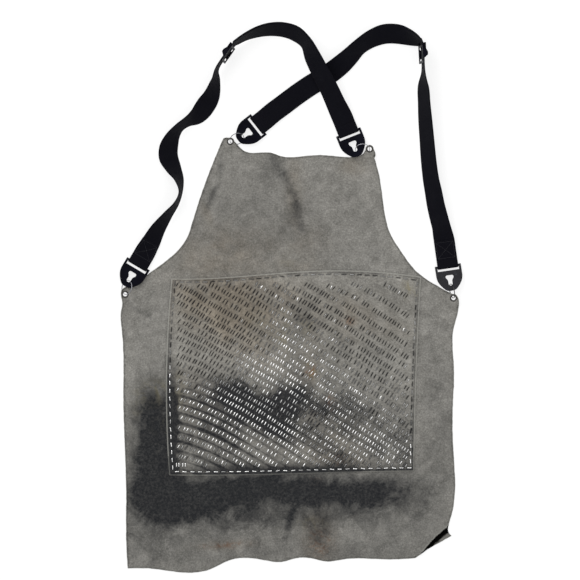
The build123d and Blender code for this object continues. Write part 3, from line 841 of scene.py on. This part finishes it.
PATCH_TAN = [(32, 8, 9, 15, 0, 0.9), (24, 90, 12, 14, 0, 0.6), (-14, 70, 12, 30, 0, 0.45),
             (-60, 90, 20, 30, 0, 0.30), (208, 150, 12, 14, 0, 0.8), (-208, -30, 9, 30, 0, 0.5)]
PATCH_RUST = [(32, 4, 8, 10, 0, 0.9), (84, -158, 9, 9, 0, 0.7), (100, 96, 12, 8, 0, 0.5),
              (72, -56, 10, 12, 0, 0.5), (64, -46, 8, 10, 0, 0.4)]


def patch_pieces(spots, lines):
    """The patch: a fine skin, quilted down wherever a staple bites, with a pale cut edge."""
    columns, rows = 330, 262
    u, v = np.meshgrid(np.linspace(0, 1, columns), np.linspace(0, 1, rows))
    u, v = u.ravel(), v.ravel()
    xy = patch_point(u, v)
    near = np.full(len(xy), 60.0)
    staple_shadow = np.zeros(len(xy))
    cell = 12.0
    bins = {}
    for i, (x, y) in enumerate(xy):
        bins.setdefault((int(x // cell), int(y // cell)), []).append(i)

    def near_place(x, y):
        """Grid points in the cell that holds a place and in the eight cells round it."""
        found = []
        for i in (-1, 0, 1):
            for j in (-1, 0, 1):
                found += bins.get((int(x // cell) + i, int(y // cell) + j), [])
        return found

    for x, y, heading, long, level in spots:
        turn = math.radians(heading)
        half = long / 2
        around = near_place(x, y)
        local = xy[around] - (x, y)
        along = local[:, 0] * math.cos(turn) + local[:, 1] * math.sin(turn)
        aside = local[:, 1] * math.cos(turn) - local[:, 0] * math.sin(turn)
        gap = np.hypot(np.maximum(np.abs(along) - half, 0), aside)
        near[around] = np.minimum(near[around], gap)
        # painted shadow round each staple, darker round the darker staples
        staple_shadow[around] = np.maximum(staple_shadow[around], (0.78 - 0.5 * level) * np.exp(-(gap / 1.25) ** 2))
    from_row = np.full(len(xy), 12.0)
    for line in lines:
        for a, b in zip(line[::2], line[2::2]):
            around = near_place((a[0] + b[0]) / 2, (a[1] + b[1]) / 2)
            if around:
                from_row[around] = np.minimum(from_row[around], distance_to_path(xy[around], [a, b]))
    between = smooth_step(from_row, 4.6, 7.2)
    quilted = 0.10 + blobs(xy, [(-140, -108, 120, 74, -12, 0.42), (40, -130, 90, 40, -20, 0.22),
                                (-100, 20, 150, 40, -34, 0.10)])
    dimple = 0.42 * np.exp(-(near / 2.0) ** 2) + 0.5 * between * quilted
    thick = PATCH - dimple + 0.12 * field_noise(xy, 9, 4.0)
    base = relief(xy) + LEATHER
    edge_gap = np.minimum(np.minimum(u, 1 - u) * 455, np.minimum(v, 1 - v) * 360)
    round_off = np.clip(edge_gap / 1.6, 0, 1)
    thick = thick * (0.55 + 0.45 * np.sqrt(round_off * (2 - round_off)))
    top = np.column_stack([xy, base + thick])
    points = list(map(tuple, top))
    faces = []
    for j in range(rows - 1):
        for i in range(columns - 1):
            k = j * columns + i
            faces.append((k, k + 1, k + 1 + columns, k + columns))
    loop = [i for i in range(columns)]
    loop += [(j + 1) * columns - 1 for j in range(1, rows)]
    loop += [(rows - 1) * columns + i for i in range(columns - 2, -1, -1)]
    loop += [j * columns for j in range(rows - 2, 0, -1)]
    first = len(points)
    middle = xy.mean(axis=0)
    for i in loop:
        x, y = xy[i] + (xy[i] - middle) * 0.0012
        points.append((x, y, base[i] + PATCH * 0.3))
    second = len(points)
    for i in loop:
        points.append((xy[i][0], xy[i][1], base[i] - 0.12))
    count = len(loop)
    for n in range(count):
        m = (n + 1) % count
        faces.append((loop[n], first + n, first + m, loop[m]))
        faces.append((first + n, second + n, second + m, first + m))
    # the back skin, coarse, lying on the hide
    coarse = {}
    stride = 6
    js = sorted(set(range(0, rows, stride)) | {rows - 1})
    xs = sorted(set(range(0, columns, stride)) | {columns - 1})
    for j in js:
        for i in xs:
            coarse[(i, j)] = len(points)
            k = j * columns + i
            points.append((xy[k][0], xy[k][1], base[k] - 0.12))
    for j0, j1 in zip(js[:-1], js[1:]):
        for i0, i1 in zip(xs[:-1], xs[1:]):
            faces.append((coarse[(i0, j0)], coarse[(i0, j1)], coarse[(i1, j1)], coarse[(i1, j0)]))
    points = np.array(points)
    attributes = stains(points[:, :2], PATCH_SOOT, PATCH_BROWN, PATCH_TAN, PATCH_RUST)
    dark = np.zeros(len(points))
    # painted light and shade: darker valleys between the staple rows and lighter strips along them, a dark line
    # just inside the cut edge, and the shadows round the staples, all added to the soot
    valley = (between - 0.34) * quilted
    rim_shade = smooth_step(edge_gap, 1.6, 2.6) * (1 - smooth_step(edge_gap, 3.6, 5.4))
    dark[:len(staple_shadow)] = staple_shadow + valley + 0.34 * rim_shade
    attributes["soot_and_shade"] = np.clip(attributes["soot_and_shade"] + dark, 0, 1.0)
    worn = np.zeros(len(points))
    worn[:len(xy)] = 1 - smooth_step(edge_gap, 0.6, 2.2)
    worn[first:second] = 1.0
    attributes["edge"] = worn * (0.45 + 0.55 * (points[:, 1] > -150))
    attributes["deep"] = np.zeros(len(points))
    return piece("armour_patch", points, faces, patch_material, attributes)


def staple_mesh(name, spots, height_at):
    """Bent-wire staples: each a flattened crown turned down into the leather at both ends."""
    sides = 6
    section = [(math.cos(a) * 0.5, math.sin(a) * 0.5) for a in np.arange(sides) * math.tau / sides]
    points, faces, level_at = [], [], []
    for x, y, heading, long, level in spots:
        turn = math.radians(heading)
        run = np.array([math.cos(turn), math.sin(turn), 0])
        aside = np.array([-run[1], run[0], 0])
        up = np.array([0, 0, 1.0])
        half = long / 2
        z = height_at(x, y)
        tall = STAPLE_TALL * (0.62 + 0.5 * level)
        lean = rng.uniform(-0.15, 0.15)
        spine = [(-half + 0.35, -1.0, 0), (-half + 0.30, tall - 0.85, 40), (-half + 0.95, tall - 0.35, 80),
                 (0, tall - 0.28 + 0.1, 90), (half - 0.95, tall - 0.35, 100), (half - 0.30, tall - 0.85, 140),
                 (half - 0.35, -1.0, 180)]
        start = len(points)
        for along, rise, tip in spine:
            across_run = math.radians(tip)
            normal = -run * math.cos(across_run) + up * math.sin(across_run)
            centre = np.array([x, y, z]) + run * along + up * rise + up * lean * along / half
            for sx, sy in section:
                wide = STAPLE_WIRE * (1 + 0.8 * level)
                points.append(centre + aside * sx * wide + normal * sy * STAPLE_WIRE * 0.8)
                level_at.append(level)
        faces += swept_faces(len(spine), sides, start)
    return piece(name, points, faces, staple_wire, {"shine": level_at})


hide, hide_area = leather_piece()
field_spots, staple_rows = staple_spots()
edge_spots = border_spots()
patch = patch_pieces(field_spots + edge_spots, staple_rows)


def patch_height(x, y):
    """Height of the patch's face at one place, from the hide's relief."""
    return float(relief(np.array([[x, y]]))[0]) + LEATHER + PATCH - 0.3


field = staple_mesh("staples_field", field_spots, patch_height)
border = staple_mesh("staples_border", edge_spots, patch_height)
for made in (hide, patch, field, border):
    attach(made, "apron")
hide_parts("leather_body")
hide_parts("reinforcement_patch")
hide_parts("border_staples")


def tube(centres, normals, radius, sides=12):
    """Points and faces of a round wire along centres, with a reference normal at each."""
    centres = np.array(centres, float)
    ahead = unit_rows(np.gradient(centres, axis=0))
    normals = np.array(normals, float)
    aside = np.cross(ahead, normals)
    points = []
    for c, n, a in zip(centres, normals, aside):
        for k in range(sides):
            turn = math.tau * k / sides
            points.append(c + (n * math.cos(turn) + a * math.sin(turn)) * radius)
    faces = side_faces(len(centres), sides)
    faces.append(tuple(range(sides)))
    faces.append(tuple((len(centres) - 1) * sides + k for k in reversed(range(sides))))
    return points, faces


# ---- webbing -------------------------------------------------------------------------------------
def smooth_run(values, per_span):
    """Catmull-Rom through rows of values, each span cut into per_span[i] steps."""
    values = np.array(values, float)
    padded = np.vstack([2 * values[0] - values[1], values, 2 * values[-1] - values[-2]])
    out = []
    for i, steps in enumerate(per_span):
        a, b, c, d = padded[i:i + 4]
        for t in np.arange(steps) / steps:
            out.append(0.5 * (2 * b + (c - a) * t + (2 * a - 5 * b + 4 * c - d) * t * t
                              + (3 * b - a - 3 * c + d) * t ** 3))
    out.append(values[-1])
    return np.array(out)


def stations(route, raised_side, slider):
    """Centre and across vectors at each station, as in the part."""
    frames = []
    for i, (x, y, bank, extra) in enumerate(route):
        before = route[slider if i == slider else max(i - 1, 0)]
        after = route[slider + 1 if i == slider + 1 else min(i + 1, len(route) - 1)]
        run = Vector((after[0] - before[0], after[1] - before[1], 0)).normalized()
        left = Vector((-run.y, run.x, 0))
        slope = math.radians(bank) * raised_side
        across = left * math.cos(slope) + Vector((0, 0, math.sin(slope)))
        lift = WEB_WIDTH / 2 * math.sin(math.radians(bank))
        centre = Vector((x, y, lift + FLOOR_GAP + WEB + LAYER_GAP / 2 + extra))
        frames.append((centre, across))
    return frames


def webbing_profile():
    """Webbing's cross-section, x across and z through it, with thinned, beaded edges."""
    profile = []
    stretch = 12
    for side in (1, -1):
        for i in range(stretch + 1):
            x = (0.5 - i / stretch) * side
            bead = 1 - 0.35 * max(0, (abs(x) - 0.46) / 0.04) ** 2
            profile.append((x * (WEB_WIDTH - 0.8), side * WEB / 2 * bead))
        profile.append((-0.5 * side * WEB_WIDTH, 0.0))
    return profile


def ribbon(name, frames, offsets, first=0, last=None):
    """Webbing through frames (centre, across) at an offset over each, made from station first to last."""
    rows = [list(c) + list(a) + [o] for (c, a), o in zip(frames, offsets)]
    gaps = [(frames[i + 1][0] - frames[i][0]).length for i in range(len(frames) - 1)]
    steps = [max(2, round(gap / 4.0)) for gap in gaps]
    run = smooth_run(rows, steps)
    centre = run[:, :3]
    across = run[:, 3:6]
    ahead = unit_rows(np.gradient(centre, axis=0))
    across = unit_rows(across - ahead * np.sum(across * ahead, axis=1)[:, None])
    face = np.cross(ahead, across)
    along = np.concatenate([[0], np.cumsum(np.linalg.norm(np.diff(centre, axis=0), axis=1))])
    centre = centre + face * run[:, 6:7]
    low = sum(steps[:first])
    high = sum(steps[:last]) if last else len(centre) - 1
    points, weave = [], []
    profile = webbing_profile()
    for i in range(low, high + 1):
        for x, z in profile:
            points.append(centre[i] + across[i] * x + face[i] * z)
            weave.append((x, along[i], 0))
    made = piece(name, points, swept_faces(high + 1 - low, len(profile)), webbing_material, {"weave": weave})
    return made, float(along[high] - along[low])


def moved(here, ahead, distance):
    """A station moved along the straight towards another."""
    run = (ahead[0] - here[0]).normalized()
    return here[0] + run * distance, here[1]


TUCK = 10.0              # how far each strap starts inside its sewn loop
GIVE_STATIONS = 3        # stations of the returning layer that stretch beside the slider


def flexes(made, names):
    """Webbing with its placement baked into its mesh, and the nodes it stands for hidden."""
    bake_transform(made)
    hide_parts(*names)


def on_loop(corner, side, bank, x, y, z):
    """A point across, beyond and above the bar on webbing that banks more the further it runs."""
    slope = math.radians(bank) * float(smooth_step(y, PINCH, SEWN))
    across = corner.across * math.cos(slope) - Vector((0, 0, math.sin(slope) * side))
    face = corner.across * math.sin(slope) * side + Vector((0, 0, math.cos(slope)))
    lift = Vector((0, 0, WEB_WIDTH / 2 * math.sin(slope)))
    return corner.bar + corner.along * y + lift + across * x + face * z


def loop_piece(name, corner, length, node, side=1, bank=0.0):
    """Webbing turned round the end piece's bar, its two layers side by side beyond it."""
    inner = END_THICK / 2 + LOOP_GAP
    turn = -BAR_HALF - LOOP_GAP + inner
    middle = inner + WEB / 2
    rest = (WEB + LAYER_GAP) / 2
    spine = [(length, rest), (length * 0.6 + 8, rest), (PINCH + 6, rest), (PINCH, rest + 0.15),
             (PINCH / 2 + 1, (rest + middle) / 2 + 0.2), (BAR_HALF, middle), (turn, middle)]
    for step in range(1, 6):
        angle = math.pi * step / 6
        spine.append((turn - middle * math.sin(angle), middle * math.cos(angle)))
    spine += [(y, -z) for y, z in reversed(spine[:7])]
    spine = np.array(spine)
    run = smooth_run(spine, [3] * (len(spine) - 1))
    ahead = unit_rows(np.gradient(run, axis=0))
    out = np.column_stack([ahead[:, 1], -ahead[:, 0]]) * -1
    along = np.concatenate([[0], np.cumsum(np.hypot(*np.diff(run, axis=0).T))])
    profile = webbing_profile()
    points, weave = [], []
    for (y, z), (oy, oz), distance in zip(run, out, along):
        for x, t in profile:
            points.append(on_loop(corner, side, bank, x, y + oy * t, z + oz * t))
            weave.append((x, distance, 0))
    made = piece(name, points, swept_faces(len(run), len(profile)), webbing_material, {"weave": weave})
    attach(made, "apron")
    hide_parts(node)


def strap(name, route, raised_side, slider, waist, bib, bank):
    """One brace: its running layer, and the layer sewn to the slider, made as its first stretch and the fixed
    rest.
    """
    frames = stations(route, raised_side, slider)
    ends = []
    for reach in (SEWN - TUCK, SEWN + 0.1):
        start = on_loop(waist, raised_side, bank, 0, reach, 0)
        edge = on_loop(waist, raised_side, bank, -1, reach, 0)
        ends.append((start, edge - start))
    head = (bib.bar + bib.along * (TURN + 0.1), bib.across)
    high = frames[slider + 1]
    low = frames[slider]
    # from inside the sewn loop up to the slider, and on through it to the bib, all one running layer
    first = ends + frames[1:slider + 1]
    running = first + frames[slider + 1:] + [head]
    offsets = [0.0] * (len(first) - 1) + [LAYER] * (len(running) - len(first) + 1)
    made, length = ribbon(f"{name}_strap", running, offsets)
    flexes(made, [f"{name}_waist_webbing", f"{name}_back_webbing", f"{name}_running_webbing",
                  f"{name}_bib_running_webbing"])
    # the other layer, sewn to the slider: its first stretch is made as a piece of its own
    loop_end = moved(high, low, SLIDER_BACK - SLIDER_TAIL - 0.3)
    doubled = [loop_end] + frames[slider + 2:] + [head]
    offsets = [-LAYER] * len(doubled)
    give, length = ribbon(f"{name}_strap_give", doubled, offsets, 0, GIVE_STATIONS)
    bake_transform(give)
    under, length = ribbon(f"{name}_strap_return", doubled, offsets, GIVE_STATIONS)
    flexes(under, [f"{name}_fixed_webbing", f"{name}_bib_fixed_webbing"])


def stitches(name, corner, side, bank, node):
    """A sewn box with a cross, in short stitches pulled into the webbing."""
    low, high = PINCH + 3.5, SEWN - 3.5
    half = 15.5
    lines = [((-half, low), (half, low)), ((half, low), (half, high)), ((half, high), (-half, high)),
             ((-half, high), (-half, low)), ((-half, low), (half, high)), ((-half, high), (half, low))]
    points, faces = [], []
    face_z = WEB + LAYER_GAP / 2
    for (ax, ay), (bx, by) in lines:
        length = math.hypot(bx - ax, by - ay)
        count = round(length / 3.2)
        for step in range(count):
            spine = []
            for part, rise in ((0.08, -0.15), (0.25, 0.16), (0.5, 0.24), (0.75, 0.16), (0.92, -0.15)):
                t = (step + part) / count
                spine.append(on_loop(corner, side, bank, ax + (bx - ax) * t, ay + (by - ay) * t, face_z + rise))
            normals = [Vector((0, 0, 1))] * len(spine)
            more, sides = tube(spine, normals, THREAD / 2, 6)
            faces += [tuple(i + len(points) for i in face) for face in sides]
            points += more
    made = piece(name, points, faces, sewing)
    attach(made, "apron")
    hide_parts(node)


LEFT_BANK, RIGHT_BANK = 30.0, 8.0     # how far each sewn loop has banked by its end
strap("left", LEFT_ROUTE, 1, LEFT_SLIDER, corners["left_waist"], corners["right_bib"], LEFT_BANK)
strap("right", RIGHT_ROUTE, -1, RIGHT_SLIDER, corners["right_waist"], corners["left_bib"], RIGHT_BANK)
loop_piece("loop_left_waist", corners["left_waist"], SEWN, "sewn_loop_left_waist", 1, LEFT_BANK)
loop_piece("loop_right_waist", corners["right_waist"], SEWN, "sewn_loop_right_waist", -1, RIGHT_BANK)
stitches("sewing_left_waist", corners["left_waist"], 1, LEFT_BANK, "stitching_left_waist")
stitches("sewing_right_waist", corners["right_waist"], -1, RIGHT_BANK, "stitching_right_waist")
loop_piece("turn_left_bib", corners["left_bib"], TURN, "webbing_turn_left_bib")
loop_piece("turn_right_bib", corners["right_bib"], TURN, "webbing_turn_right_bib")


# ---- metal ---------------------------------------------------------------------------------------
RING_SHINE = {"left_waist": 0.60, "right_waist": 0.10, "left_bib": 0.40, "right_bib": 0.62}


def split_ring(name, corner):
    """A double coil of spring wire, its two turns touching, with the ends lapped."""
    wire_r = RING_WIRE_R / 2 - 0.04
    side_way = corner.ring_axis.normalized()
    first, second = corner.chain, corner.up_side
    centres, normals = [], []
    turns, steps = 1.94, 190
    for i in range(steps):
        part = i / (steps - 1)
        angle = math.tau * (turns * part + 0.15)
        shift = (smooth_step(part * turns, 0.90, 1.04) * 2 - 1) * wire_r
        radial = first * math.cos(angle) + second * math.sin(angle)
        centres.append(corner.ring_centre + radial * (RING_R + 0.05) + side_way * float(shift))
        normals.append(radial)
    points, faces = tube(centres, normals, wire_r * 1.06, 12)
    level = [RING_SHINE[name]] * len(points)
    made = piece(f"ring_{name}", points, faces, spring_wire, {"shine": level})
    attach(made, f"ring_{name}")
    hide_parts(f"split_ring_{name}")


def lathe(centre, profile, sides=48):
    """Points and faces of a closed profile (radius, height) turned about the vertical through centre."""
    points, faces = [], []
    count = len(profile)
    for i in range(sides):
        turn = math.tau * i / sides
        for radius, height in profile:
            points.append((centre.x + radius * math.cos(turn), centre.y + radius * math.sin(turn),
                           centre.z + height))
    for i in range(sides):
        j = (i + 1) % sides
        for k in range(count):
            m = (k + 1) % count
            faces.append((i * count + k, j * count + k, j * count + m, i * count + m))
    return points, faces


def eyelet(name, corner):
    """A pressed eyelet with a domed flange over the hide and its roll under the washer."""
    half = LEATHER / 2
    centre = Vector((corner.eyelet.x, corner.eyelet.y, corner.ring_z))
    profile = [(EYELET_IN_R, -half - 0.7), (EYELET_IN_R, half + 0.2), (EYELET_IN_R + 0.35, half + 0.62)]
    for step in range(7):
        turn = math.pi * step / 6
        profile.append((5.3 - 1.15 * math.cos(turn), half + 0.28 + 0.45 * math.sin(turn)))
    profile += [(6.5, half + 0.02), (EYELET_IN_R + 0.42, half + 0.02), (EYELET_IN_R + 0.42, -half - 0.5),
                (EYELET_IN_R + 1.2, -half - 0.5), (EYELET_IN_R + 1.15, -half - 0.85),
                (EYELET_IN_R + 0.5, -half - 0.95)]
    points, faces = lathe(centre, profile)
    made = piece(f"grommet_{name}", points, faces, gunmetal, {"shine": [0.45] * len(points)})
    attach(made, "apron")
    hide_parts(f"eyelet_{name}")


for name, corner in corners.items():
    split_ring(name, corner)
    eyelet(name, corner)


# ---- carried-over nodes --------------------------------------------------------------------------
def dress(node, material):
    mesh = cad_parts[node].data
    mesh.materials.clear()
    mesh.materials.append(material)


for name in corners:
    dress(f"end_piece_{name}", scuffed_plastic if name == "right_waist" else plastic)
    dress(f"washer_{name}", gunmetal)
for side in ("left", "right"):
    dress(f"{side}_slider", plastic)
    dress(f"{side}_slider_loop", webbing_material)
    dress(f"{side}_slider_stitching", sewing)
